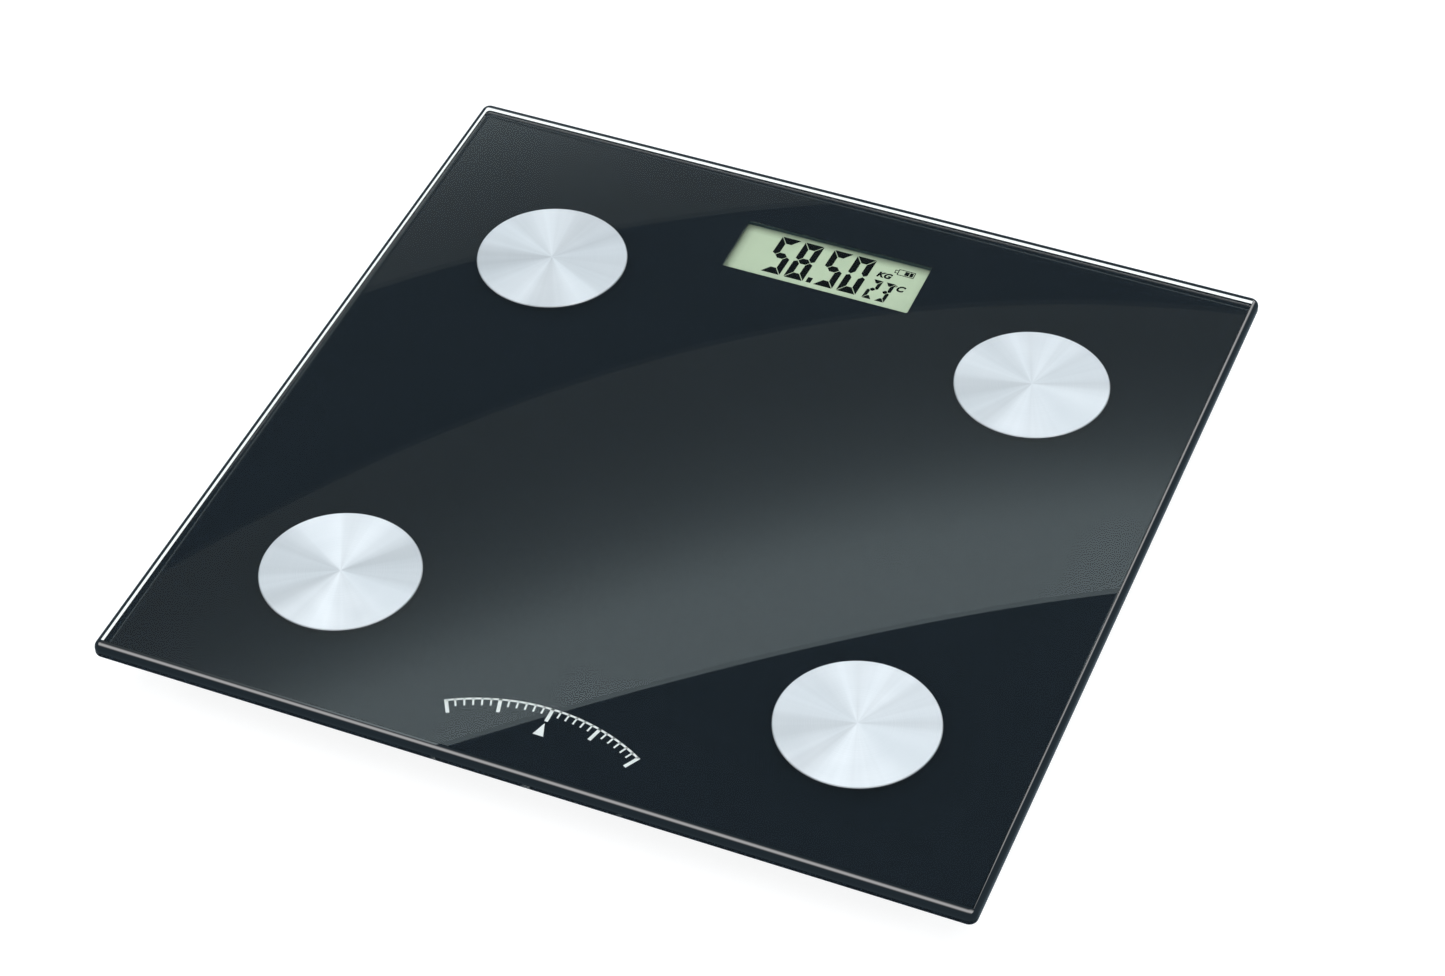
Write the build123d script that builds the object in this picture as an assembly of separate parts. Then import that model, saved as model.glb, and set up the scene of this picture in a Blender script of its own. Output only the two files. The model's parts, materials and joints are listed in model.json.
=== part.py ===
from build123d import *
import os

# Digital bathroom scale: a square tempered-glass platform on four load-cell feet, with a
# display, a circuit board and two AAA cells in a shallow housing under the back edge.
# Millimetres, +Z up, +X right, +Y towards the display edge.
# Origin: centre of the footprint, at the level of the foot pads' undersides.

# Driving dimensions: platform
PLATE_SIDE = 280.0
PLATE_CORNER_R = 2.8
PLATE_TOP_EDGE_R = 2.2
PLATE_LOW_EDGE_R = 1.2
GLASS_Z = 17.0
GLASS_T = 5.0
GLASS_TOP = GLASS_Z + GLASS_T
FILM_T = 0.3
FILM_Z = GLASS_Z - FILM_T
FILM_INSET = 1.3
FILM_SIDE = PLATE_SIDE - 2 * FILM_INSET
FILM_CORNER_R = PLATE_CORNER_R - FILM_INSET
TAPE_T = 0.4
TAPE_Z = FILM_Z - TAPE_T

# Driving dimensions: electrodes
DISC_R = 25.0
DISC_T = 0.6
DISC_GLUE_T = 0.15
DISC_X = 84.0
DISC_BACK_Y = 72.0
DISC_FRONT_Y = -85.0
STUD_R = 1.5
STUD_Z = 11.2
STUD_HOLE_R = 3.5

# Driving dimensions: load-cell feet
FOOT_X = 108.0
FOOT_Y = 108.0
CARRIER_SIDE = 41.0
CARRIER_CORNER_R = 6.0
CARRIER_WALL = 1.8
CARRIER_Z = 6.0
ROOF_Z = 14.8
CELL_SIDE = 34.0
CELL_T = 2.0
CELL_Z = 11.0
CELL_TOP = CELL_Z + CELL_T
CELL_PIN = 14.0
CAP_SIDE = 34.0
CAP_WALL = 1.8
CAP_Z = 1.2
CAP_FLOOR_TOP = 3.4
CAP_RIM_TOP = 9.0
PAD_SIDE = 29.0
PAD_T = 1.8

# Driving dimensions: wiring, all of it lying at one height under the film
WIRE_Z = 14.0
WIRE_R = 0.45
WIRE_PITCH = 1.1
ELECTRODE_WIRE_R = 0.55
DUCT_Z = 12.2
DUCT_FLOOR_T = 1.0
DUCT_W = 8.6
DUCT_CHANNEL_W = 6.2
DUCT_X = 46.4
DUCT_BEND_R = 10.0
FRONT_WIRE_X = 45.6
FRONT_ELECTRODE_WIRE_X = 48.3
BACK_ELECTRODE_WIRE_X = 50.3
PAD_FRONT_Y = 91.0
PAD_BACK_X = 47.5
PAD_ELECTRODE_Y = 97.0

# Driving dimensions: display housing
HOUSING_W = 120.0
HOUSING_Y0 = 56.0
HOUSING_Y1 = 127.0
HOUSING_Y = (HOUSING_Y0 + HOUSING_Y1) / 2
HOUSING_D = HOUSING_Y1 - HOUSING_Y0
HOUSING_CORNER_R = 8.0
HOUSING_WALL = 1.8
COVER_Z = 4.0
COVER_TOP = 5.5
LIP_TOP = 7.0
BOSS_X = 54.5
BOSS_Y = (61.5, 122.0)
BOSS_R = 3.0
BOARD_POST_X = 41.8
BOARD_POST_Y = (90.5, 116.0)
BOARD_POST_R = 1.9

# Driving dimensions: display and circuit board
WINDOW_X = 1.3
WINDOW_Y = 104.8
WINDOW_W = 65.5
WINDOW_D = 24.5
HOLDER_W = 76.0
HOLDER_D = 31.0
LCD_W = 71.4
LCD_D = 28.4
LCD_LEDGE = 3.2
LCD_PANE_T = 1.1
LCD_TOP = 15.0
BOARD_W = 103.0
BOARD_Y0 = 87.5
BOARD_Y1 = 121.0
BOARD_Z = 10.0
BOARD_TOP = 11.2
BUTTON_X = 30.0
BUTTON_Y = 104.0
BUTTON_R = 3.5
BUTTON_FLANGE_TOP = 6.7

# Driving dimensions: batteries and their door
BATTERY_R = 5.2
BATTERY_L = 43.6
BATTERY_NUB = 0.9
BATTERY_Z = 11.1
BATTERY_FRONT_Y = 67.0
BATTERY_BACK_Y = 78.0
BATTERY_SHIFT = 0.1
BAY_X = 25.5
BAY_Y0 = 61.4
BAY_Y1 = 84.2
BAY_WALL = 1.4
BAY_WALL_Z = 7.2
CONTACT_X = 24.9
CONTACT_T = 0.4
DOOR_X = 25.6
DOOR_Y0 = 61.8
HINGE_Y = 84.6
HINGE_Z = 5.2
HINGE_R = 1.2
HINGE_PIN_R = 0.7
OPENING_X = 26.0
OPENING_Y1 = 86.1

CORNERS = {
    "front_left": (-1, -1),
    "front_right": (1, -1),
    "back_left": (-1, 1),
    "back_right": (1, 1),
}


def block(x0, x1, y0, y1, z0, z1):
    """Box between two opposite corners."""
    return Pos((x0 + x1) / 2, (y0 + y1) / 2, (z0 + z1) / 2) * Box(abs(x1 - x0), y1 - y0, z1 - z0)


def disc(x, y, radius, z0, z1):
    """Upright cylinder."""
    return Pos(x, y, (z0 + z1) / 2) * Cylinder(radius, z1 - z0)


def rod(x0, x1, y, z, radius):
    """Cylinder lying along X."""
    return Pos((x0 + x1) / 2, y, z) * Rot(0, 90, 0) * Cylinder(radius, abs(x1 - x0))


def slab(x, y, width, depth, corner, z0, z1):
    """Plate with rounded corners in plan."""
    return Pos(x, y, z0) * extrude(RectangleRounded(width, depth, corner), z1 - z0)


def tube(points, bends, radius):
    """Round wire along straight runs joined by tangent arcs."""
    path = FilletPolyline(*points, radius=bends)
    section = Plane(origin=path @ 0, z_dir=path % 0) * Circle(radius)
    return sweep(section, path=path)


def electrode_spots():
    """Centre of each electrode disc, by corner name."""
    spots = {}
    for name, (side, end) in CORNERS.items():
        spots[name] = (side * DISC_X, DISC_BACK_Y if end > 0 else DISC_FRONT_Y)
    return spots


def foot_place(side, end):
    """Local frame of a load-cell foot, with its own +X pointing to the scale's middle."""
    return Pos(side * FOOT_X, end * FOOT_Y, 0) * Rot(0, 0, 180 if side > 0 else 0)


def glass_platform():
    glass = slab(0, 0, PLATE_SIDE, PLATE_SIDE, PLATE_CORNER_R, GLASS_Z, GLASS_TOP)
    glass = fillet(glass.edges().group_by(Axis.Z)[0], PLATE_LOW_EDGE_R)
    glass = fillet(glass.edges().group_by(Axis.Z)[-1], PLATE_TOP_EDGE_R)
    for x, y in electrode_spots().values():
        glass -= disc(x, y, STUD_HOLE_R, GLASS_Z, GLASS_TOP)
    return glass


def backing_film():
    film = slab(0, 0, FILM_SIDE, FILM_SIDE, FILM_CORNER_R, FILM_Z, GLASS_Z)
    film -= slab(WINDOW_X, WINDOW_Y, WINDOW_W, WINDOW_D, 0.6, FILM_Z, GLASS_Z)
    for x, y in electrode_spots().values():
        film -= disc(x, y, STUD_HOLE_R, FILM_Z, GLASS_Z)
    return film


def electrode_disc(x, y):
    """Brushed metal disc with a welded stud that passes down through the glass."""
    low = GLASS_TOP + DISC_GLUE_T
    face = disc(x, y, DISC_R, low, low + DISC_T)
    face = chamfer(face.edges().group_by(Axis.Z)[-1], 0.25)
    return face + disc(x, y, STUD_R, STUD_Z, low)


def electrode_adhesive(x, y):
    ring = disc(x, y, DISC_R - 1.0, GLASS_TOP, GLASS_TOP + DISC_GLUE_T)
    return ring - disc(x, y, STUD_HOLE_R + 0.5, GLASS_TOP, GLASS_TOP + DISC_GLUE_T)


WASHER_Z = 14.9
TERMINAL_Z = 14.3
NUT_Z = 11.9


def electrode_washer(x, y):
    return disc(x, y, 5.0, WASHER_Z, FILM_Z) - disc(x, y, STUD_R + 0.1, WASHER_Z, FILM_Z)


def electrode_terminal(x, y, side):
    """Ring terminal whose crimp barrel points to the scale's middle."""
    ring = disc(0, 0, 3.4, TERMINAL_Z, WASHER_Z)
    neck = block(2.6, 5.6, -1.3, 1.3, TERMINAL_Z, WASHER_Z)
    barrel = rod(5.0, 9.0, 0, WIRE_Z, 1.1)
    barrel -= rod(5.0, 9.0, 0, WIRE_Z, ELECTRODE_WIRE_R + 0.05)
    terminal = ring + (neck - rod(5.0, 9.0, 0, WIRE_Z, 1.1)) + barrel
    terminal -= disc(0, 0, STUD_R + 0.1, TERMINAL_Z, WASHER_Z)
    return Pos(x, y, 0) * Rot(0, 0, 180 if side > 0 else 0) * terminal


def electrode_nut(x, y):
    nut = Pos(x, y, NUT_Z) * extrude(RegularPolygon(3.17, 6), TERMINAL_Z - NUT_Z)
    return nut - disc(x, y, STUD_R + 0.05, NUT_Z, TERMINAL_Z)


def cell_carrier():
    """Inverted cup bonded to the glass; its posts bear on the load cell's outer frame."""
    carrier = slab(0, 0, CARRIER_SIDE, CARRIER_SIDE, CARRIER_CORNER_R, CARRIER_Z, TAPE_Z)
    room = CARRIER_SIDE - 2 * CARRIER_WALL
    carrier -= slab(0, 0, room, room, CARRIER_CORNER_R - CARRIER_WALL, CARRIER_Z, ROOF_Z)
    carrier -= disc(0, 0, 6.0, ROOF_Z, TAPE_Z)
    for post in GridLocations(2 * CELL_PIN, 2 * CELL_PIN, 2, 2):
        x, y = post.position.X, post.position.Y
        carrier += slab(x, y, 5.0, 5.0, 1.0, CELL_TOP, ROOF_Z)
        carrier += disc(x, y, 1.1, CELL_Z - 0.6, CELL_TOP)
    wall = CARRIER_SIDE / 2
    return carrier - block(wall - 2.5, wall + 1, -3.5, 3.5, 12.0, ROOF_Z)


def load_cell():
    """Stamped steel half-bridge cell: a frame with a tongue that the foot pushes up."""
    plate = slab(0, 0, CELL_SIDE, CELL_SIDE, 3.0, CELL_Z, CELL_TOP)
    slot = block(-11.0, 8.0, -9.0, 9.0, CELL_Z, CELL_TOP)
    tongue = block(-9.0, 8.0, -7.0, 7.0, CELL_Z, CELL_TOP)
    plate -= slot - tongue
    for y in (-6.0, 6.0):
        plate -= slab(11.0, y, 3.0, 3.4, 0.8, CELL_Z, CELL_TOP)
    plate -= disc(0, 0, 1.6, CELL_Z, CELL_TOP)
    for pin in GridLocations(2 * CELL_PIN, 2 * CELL_PIN, 2, 2):
        plate -= disc(pin.position.X, pin.position.Y, 1.25, CELL_Z, CELL_TOP)
    return plate


def strain_gauge():
    """Sealed foil gauge on the tongue's root, with the tab that its leads are soldered to."""
    gauge = slab(10.8, 0, 5.0, 6.0, 0.8, CELL_TOP, CELL_TOP + 0.4)
    return gauge + block(12.8, 15.6, -2.2, 2.2, CELL_TOP, WIRE_Z - WIRE_R)


def foot_cap():
    """Plastic cup whose boss bears on the tongue and snaps through its hole."""
    cap = slab(0, 0, CAP_SIDE, CAP_SIDE, 5.0, CAP_Z, CAP_RIM_TOP)
    cap = chamfer(cap.edges().group_by(Axis.Z)[0], 0.5)
    room = CAP_SIDE - 2 * CAP_WALL
    cap -= slab(0, 0, room, room, 5.0 - CAP_WALL, CAP_FLOOR_TOP, CAP_RIM_TOP)
    cap -= slab(0, 0, PAD_SIDE + 0.2, PAD_SIDE + 0.2, 3.9, CAP_Z, PAD_T)
    cap += block(-room / 2, room / 2, -0.7, 0.7, CAP_FLOOR_TOP, 7.0)
    cap += block(-0.7, 0.7, -room / 2, room / 2, CAP_FLOOR_TOP, 7.0)
    cap += disc(0, 0, 5.0, CAP_FLOOR_TOP, CELL_Z)
    cap += disc(0, 0, 1.45, CELL_Z, CELL_TOP + 0.05)
    return cap + disc(0, 0, 1.9, CELL_TOP + 0.05, CELL_TOP + 0.7)


def foot_pad():
    """Rubber pad with moulded treads, glued into the cap's recess."""
    pad = slab(0, 0, PAD_SIDE, PAD_SIDE, 3.8, 0, PAD_T)
    for y in (-9.0, -3.0, 3.0, 9.0):
        pad -= block(-PAD_SIDE / 2, PAD_SIDE / 2, y - 0.7, y + 0.7, 0, 0.5)
    return pad


def mounting_tape():
    """Double-sided foam tape: one piece on each carrier and a frame on the housing."""
    pieces = []
    for side, end in CORNERS.values():
        pad = slab(0, 0, CARRIER_SIDE - 2, CARRIER_SIDE - 2, CARRIER_CORNER_R - 1, TAPE_Z, FILM_Z)
        pieces.append(foot_place(side, end) * (pad - disc(0, 0, 6.0, TAPE_Z, FILM_Z)))
    ring = slab(0, HOUSING_Y, HOUSING_W - 2, HOUSING_D - 2, HOUSING_CORNER_R - 1, TAPE_Z, FILM_Z)
    ring -= slab(0, HOUSING_Y, HOUSING_W - 9, HOUSING_D - 9, HOUSING_CORNER_R - 4, TAPE_Z, FILM_Z)
    pieces.append(ring)
    return Compound(pieces)


def wire_duct(side, end):
    """Trough bonded under the glass, from a foot to the display housing."""
    start = FOOT_X - CARRIER_SIDE / 2 - 0.2
    if end > 0:
        path = Line((side * start, FOOT_Y), (side * (HOUSING_W / 2 + 0.2), FOOT_Y))
    else:
        corner = (side * DUCT_X, -FOOT_Y)
        path = FilletPolyline(
            (side * start, -FOOT_Y), corner, (side * DUCT_X, HOUSING_Y0 - 0.2), radius=DUCT_BEND_R
        )
    floor_top = DUCT_Z + DUCT_FLOOR_T
    duct = Pos(0, 0, DUCT_Z) * extrude(trace(path, DUCT_W), FILM_Z - DUCT_Z)
    duct -= Pos(0, 0, floor_top) * extrude(trace(path, DUCT_CHANNEL_W), FILM_Z - floor_top)
    if end < 0:
        inner = DUCT_X + DUCT_CHANNEL_W / 2 - 0.5
        outer = DUCT_X + DUCT_W / 2 + 0.5
        notch = sorted((side * inner, side * outer))
        duct -= block(notch[0], notch[1], DISC_FRONT_Y - 1.8, DISC_FRONT_Y + 3.2, floor_top, FILM_Z)
    return duct


def load_cell_leads(side, end):
    """Three insulated wires from a strain gauge to the circuit board."""
    start = FOOT_X - 13.2
    leads = []
    for step in (-1, 0, 1):
        shift = step * WIRE_PITCH
        y = end * FOOT_Y + shift
        if end > 0:
            points = [
                (side * start, y, WIRE_Z),
                (side * PAD_BACK_X, y, WIRE_Z),
                (side * PAD_BACK_X, y, BOARD_TOP),
            ]
            bends = [1.4]
        else:
            x = side * (FRONT_WIRE_X + shift)
            points = [
                (side * start, y, WIRE_Z),
                (x, y, WIRE_Z),
                (x, PAD_FRONT_Y, WIRE_Z),
                (x, PAD_FRONT_Y, BOARD_TOP),
            ]
            bends = [DUCT_BEND_R - shift, 1.4]
        leads.append(tube(points, bends, WIRE_R))
    return Compound(leads)


def electrode_lead(side, end):
    """Insulated wire from a crimp barrel to the circuit board."""
    start = side * (DISC_X - 7.0)
    if end > 0:
        x, y, pad_y = side * BACK_ELECTRODE_WIRE_X, DISC_BACK_Y, PAD_ELECTRODE_Y
    else:
        x, y, pad_y = side * FRONT_ELECTRODE_WIRE_X, DISC_FRONT_Y, PAD_FRONT_Y
    points = [(start, y, WIRE_Z), (x, y, WIRE_Z), (x, pad_y, WIRE_Z), (x, pad_y, BOARD_TOP)]
    return tube(points, [3.0, 1.4], ELECTRODE_WIRE_R)


def boss_spots():
    return [(side * BOSS_X, y) for side in (-1, 1) for y in BOSS_Y]


def board_post_spots():
    return [(side * BOARD_POST_X, y) for side in (-1, 1) for y in BOARD_POST_Y]


def housing_shell():
    """Walls and roof of the display housing, open underneath."""
    shell = slab(0, HOUSING_Y, HOUSING_W, HOUSING_D, HOUSING_CORNER_R, COVER_TOP, TAPE_Z)
    room_w = HOUSING_W - 2 * HOUSING_WALL
    room_d = HOUSING_D - 2 * HOUSING_WALL
    corner = HOUSING_CORNER_R - HOUSING_WALL
    return shell - slab(0, HOUSING_Y, room_w, room_d, corner, COVER_TOP, ROOF_Z)


def battery_bay():
    """Four walls that hang from the roof around the cells."""
    outer_x = BAY_X + BAY_WALL
    bay = block(-outer_x, outer_x, BAY_Y0 - BAY_WALL, BAY_Y1 + BAY_WALL, BAY_WALL_Z, ROOF_Z)
    bay -= block(-BAY_X, BAY_X, BAY_Y0, BAY_Y1, BAY_WALL_Z, ROOF_Z)
    for y in (BATTERY_FRONT_Y, BATTERY_BACK_Y):
        bay -= block(BAY_X - 0.5, outer_x + 0.5, y - 1.9, y + 1.9, 12.9, ROOF_Z)
    return bay


def display_housing():
    housing = housing_shell() + battery_bay()
    for x, y in boss_spots():
        housing += disc(x, y, BOSS_R, COVER_TOP, ROOF_Z)
    for x, y in board_post_spots():
        housing += disc(x, y, BOARD_POST_R, BOARD_TOP, ROOF_Z)
    for x, y in boss_spots():
        housing -= disc(x, y, 1.05, COVER_TOP, 13.0)
    for x, y in board_post_spots():
        housing -= disc(x, y, 0.85, BOARD_TOP, 14.4)
    housing -= block(-BAY_X, BAY_X, BAY_Y0, BAY_Y1, ROOF_Z, TAPE_Z)
    housing -= slab(WINDOW_X, WINDOW_Y, HOLDER_W + 0.8, HOLDER_D + 0.8, 1.0, ROOF_Z, TAPE_Z)
    front = HOUSING_Y0
    wall = HOUSING_W / 2
    for side in (-1, 1):
        low, high = sorted((side * (DUCT_X - 3.1), side * (DUCT_X + 3.1)))
        housing -= block(low, high, front - 1, front + HOUSING_WALL + 1, 13.0, ROOF_Z)
        low, high = sorted((side * (wall - HOUSING_WALL - 1), side * (wall + 1)))
        housing -= block(low, high, FOOT_Y - 3.1, FOOT_Y + 3.1, 13.0, ROOF_Z)
        housing -= block(low, high, DISC_BACK_Y - 1.2, DISC_BACK_Y + 1.2, 13.0, ROOF_Z)
    return housing


def housing_cover():
    """Bottom cover with the battery opening, hinge sockets, button hole and screw holes."""
    cover = slab(0, HOUSING_Y, HOUSING_W, HOUSING_D, HOUSING_CORNER_R, COVER_Z, COVER_TOP)
    cover = fillet(cover.edges().group_by(Axis.Z)[0], 0.9)
    lip_w = HOUSING_W - 2 * HOUSING_WALL - 0.5
    lip_d = HOUSING_D - 2 * HOUSING_WALL - 0.5
    lip = slab(0, HOUSING_Y, lip_w, lip_d, 5.9, COVER_TOP, LIP_TOP)
    lip -= slab(0, HOUSING_Y, lip_w - 2.4, lip_d - 2.4, 4.7, COVER_TOP, LIP_TOP)
    for x, y in boss_spots():
        lip -= disc(x, y, BOSS_R + 0.4, COVER_TOP, LIP_TOP)
    cover += lip
    for side in (-1, 1):
        low, high = sorted((side * OPENING_X, side * (OPENING_X + 2.8)))
        cover += block(low, high, HINGE_Y - 1.7, HINGE_Y + 1.7, COVER_TOP, 6.9)
    cover -= block(-OPENING_X, OPENING_X, BAY_Y0, OPENING_Y1, COVER_Z, COVER_TOP)
    pin_reach = OPENING_X + 2.4
    cover -= rod(-pin_reach, pin_reach, HINGE_Y, HINGE_Z, HINGE_PIN_R + 0.08)
    cover -= disc(BUTTON_X, BUTTON_Y, BUTTON_R + 0.25, COVER_Z, COVER_TOP)
    for x, y in boss_spots():
        cover -= disc(x, y, 1.35, COVER_Z, COVER_TOP)
        cover -= disc(x, y, 2.4, COVER_Z, COVER_Z + 0.9)
    return cover


def cross_recess(x, y, z, size, depth):
    """Cutter for a cross-head screw's recess."""
    bar = size / 4
    one = block(x - size, x + size, y - bar, y + bar, z, z + depth)
    return one + block(x - bar, x + bar, y - size, y + size, z, z + depth)


def screw(x, y, head_z, head_r, head_t, shank_r, shank_top):
    """Pan-head screw driven upwards."""
    body = disc(x, y, head_r, head_z, head_z + head_t)
    body = fillet(body.edges().group_by(Axis.Z)[0], 0.25)
    body += disc(x, y, shank_r, head_z + head_t, shank_top)
    return body - cross_recess(x, y, head_z, head_r * 0.55, head_t * 0.55)


def cover_screws():
    return Compound([screw(x, y, 4.05, 2.2, 0.85, 1.0, 12.0) for x, y in boss_spots()])


def board_screws():
    head_z = BOARD_Z - 1.1
    return Compound([screw(x, y, head_z, 1.8, 1.1, 0.8, 14.0) for x, y in board_post_spots()])


def battery_door():
    """Door plate with a hinge barrel, two end pins, a finger scoop and grip grooves."""
    door = block(-DOOR_X, DOOR_X, DOOR_Y0, HINGE_Y, COVER_Z, COVER_TOP)
    door = fillet(door.edges().filter_by(Axis.Z).group_by(Axis.Y)[0], 1.0)
    door += rod(-DOOR_X, DOOR_X, HINGE_Y, HINGE_Z, HINGE_R)
    door += rod(-OPENING_X - 2.2, OPENING_X + 2.2, HINGE_Y, HINGE_Z, HINGE_PIN_R)
    door -= slab(0, DOOR_Y0 + 4.0, 16.0, 5.0, 2.4, COVER_Z, COVER_Z + 0.7)
    for y in (72.0, 74.0, 76.0):
        door -= slab(0, y, 16.0, 0.9, 0.4, COVER_Z, COVER_Z + 0.35)
    return door


def door_latch():
    """Springy hook on the door's free edge that catches behind the cover's lip."""
    leg = block(-4.0, 4.0, DOOR_Y0 + 0.1, DOOR_Y0 + 1.1, COVER_TOP, 6.6)
    hook = block(-4.0, 4.0, BAY_Y0 - 1.0, DOOR_Y0 + 0.1, COVER_TOP + 0.15, 6.6)
    return chamfer((leg + hook).edges().group_by(Axis.Y)[0].group_by(Axis.Z)[0], 0.4)


def battery(y, facing):
    """AAA cell lying along X; its positive end points to +X when facing is 1."""
    can = rod(-BATTERY_L / 2, BATTERY_L / 2, 0, 0, BATTERY_R)
    can = fillet(can.edges(), 0.4)
    can += rod(BATTERY_L / 2, BATTERY_L / 2 + BATTERY_NUB, 0, 0, 1.9)
    turn = 0 if facing > 0 else 180
    return Pos(facing * BATTERY_SHIFT, y, BATTERY_Z) * Rot(0, 0, turn) * can


NEGATIVE_X = BATTERY_L / 2 - BATTERY_SHIFT
POSITIVE_X = BATTERY_L / 2 + BATTERY_SHIFT + BATTERY_NUB


def contact(side, y0, y1, bows, tab_y):
    """Sprung sheet-metal contact on one end wall; each bow is (y, x of the cell's end)."""
    low, high = sorted((side * CONTACT_X, side * (CONTACT_X + CONTACT_T)))
    piece = block(low, high, y0, y1, 7.8, ROOF_Z - 0.2)
    strip = 0.3
    for y, tip in bows:
        root = side * (CONTACT_X + CONTACT_T / 2)
        crown = side * (tip + strip / 2)
        bow = trace(ThreePointArc((root, y - 3.8), (crown, y), (root, y + 3.8)), strip)
        piece += Pos(0, 0, BATTERY_Z - 2.2) * extrude(bow, 4.4)
    if tab_y is not None:
        top = WIRE_Z - WIRE_R
        piece += block(CONTACT_X, BAY_X + BAY_WALL + 1.2, tab_y - 1.5, tab_y + 1.5, top - 0.4, top)
    return piece


def battery_leads():
    """Two wires from the contact tabs to the circuit board."""
    leads = []
    for y, x in ((BATTERY_FRONT_Y, 34.5), (BATTERY_BACK_Y, 31.5)):
        points = [(26.2, y, WIRE_Z), (x, y, WIRE_Z), (x, 88.3, WIRE_Z), (x, 88.3, BOARD_TOP)]
        leads.append(tube(points, [2.0, 1.4], WIRE_R))
    return Compound(leads)


def window_frame(width, depth, inner_w, inner_d, z0, z1):
    """Rectangular ring centred on the display window."""
    ring = slab(WINDOW_X, WINDOW_Y, width, depth, 0.8, z0, z1)
    return ring - slab(WINDOW_X, WINDOW_Y, inner_w, inner_d, 0.6, z0, z1)


def lcd_holder():
    lower = window_frame(HOLDER_W, HOLDER_D, LCD_W + 0.3, LCD_D + 0.3, BOARD_TOP, LCD_TOP)
    upper = window_frame(HOLDER_W, HOLDER_D, WINDOW_W + 1, WINDOW_D + 1, LCD_TOP, TAPE_Z)
    return lower + upper


def lcd_panel():
    """Front and rear panes; the front one overhangs to give a contact ledge."""
    middle = LCD_TOP - LCD_PANE_T
    front = slab(WINDOW_X, WINDOW_Y, LCD_W, LCD_D, 0.3, middle, LCD_TOP)
    depth = LCD_D - LCD_LEDGE
    rear = slab(
        WINDOW_X, WINDOW_Y + LCD_LEDGE / 2, LCD_W, depth, 0.3, middle - LCD_PANE_T, middle
    )
    return Compound([front, rear])


def lcd_reflector():
    depth = LCD_D - LCD_LEDGE - 0.2
    y = WINDOW_Y + LCD_LEDGE / 2
    return slab(WINDOW_X, y, LCD_W - 0.4, depth, 0.3, BOARD_TOP, LCD_TOP - 2 * LCD_PANE_T)


def zebra_strip():
    y0 = WINDOW_Y - LCD_D / 2 + 0.4
    return block(WINDOW_X - 31, WINDOW_X + 31, y0, y0 + 2.4, BOARD_TOP, LCD_TOP - LCD_PANE_T)


def circuit_board():
    depth = BOARD_Y1 - BOARD_Y0
    board = slab(0, (BOARD_Y0 + BOARD_Y1) / 2, BOARD_W, depth, 1.5, BOARD_Z, BOARD_TOP)
    for x, y in board_post_spots():
        board -= disc(x, y, 1.1, BOARD_Z, BOARD_TOP)
    return board


def chip_cap():
    """Epoxy dome over the bonded chip."""
    cap = disc(-8.0, 104.0, 6.5, BOARD_Z - 1.1, BOARD_Z)
    return fillet(cap.edges().group_by(Axis.Z)[0], 0.9)


def surface_mount_parts():
    """Resistors, capacitors and the thermistor on the board's underside."""
    parts = []
    for column in range(6):
        x = -34.0 + 4.0 * column
        parts.append(block(x, x + 1.8, 93.0, 94.0, BOARD_Z - 0.6, BOARD_Z))
    for row in range(4):
        y = 98.0 + 4.0 * row
        parts.append(block(12.0, 13.1, y, y + 2.0, BOARD_Z - 0.6, BOARD_Z))
    parts.append(block(-38.0, -34.8, 108.0, 110.6, BOARD_Z - 1.2, BOARD_Z))
    return Compound(parts)


def tact_switch():
    switch = slab(BUTTON_X, BUTTON_Y, 6.2, 6.2, 0.4, BOARD_Z - 2.5, BOARD_Z)
    return switch - disc(BUTTON_X, BUTTON_Y, 1.7, BOARD_Z - 2.5, BOARD_Z - 1.3)


def tact_plunger():
    return disc(BUTTON_X, BUTTON_Y, 1.6, BUTTON_FLANGE_TOP, BOARD_Z - 1.9)


def unit_button():
    button = disc(BUTTON_X, BUTTON_Y, BUTTON_R, COVER_Z - 0.3, COVER_TOP)
    button = fillet(button.edges().group_by(Axis.Z)[0], 0.4)
    return button + disc(BUTTON_X, BUTTON_Y, 5.0, COVER_TOP, BUTTON_FLANGE_TOP)


def corner_nodes():
    """Every node that occurs once at each corner."""
    nodes = {}
    spots = electrode_spots()
    for name, (side, end) in CORNERS.items():
        place = foot_place(side, end)
        nodes["electrode_disc_" + name] = electrode_disc(*spots[name])
        nodes["cell_carrier_" + name] = place * cell_carrier()
        nodes["load_cell_" + name] = place * load_cell()
        nodes["foot_cap_" + name] = place * foot_cap()
        nodes["foot_pad_" + name] = place * foot_pad()
        nodes["wire_duct_" + name] = wire_duct(side, end)
        nodes["load_cell_leads_" + name] = load_cell_leads(side, end)
    return nodes


def grouped_nodes():
    """Small identical pieces, one node for each kind."""
    spots = electrode_spots()
    places = [(spots[name], side, end) for name, (side, end) in CORNERS.items()]
    return {
        "electrode_adhesive": Compound([electrode_adhesive(*spot) for spot, _, _ in places]),
        "electrode_washers": Compound([electrode_washer(*spot) for spot, _, _ in places]),
        "electrode_terminals": Compound(
            [electrode_terminal(*spot, side) for spot, side, _ in places]
        ),
        "electrode_nuts": Compound([electrode_nut(*spot) for spot, _, _ in places]),
        "electrode_leads": Compound([electrode_lead(side, end) for _, side, end in places]),
        "strain_gauges": Compound([foot_place(side, end) * strain_gauge() for _, side, end in places]),
        "mounting_tape": mounting_tape(),
        "cover_screws": cover_screws(),
        "board_screws": board_screws(),
        "surface_mount_parts": surface_mount_parts(),
    }


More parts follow.
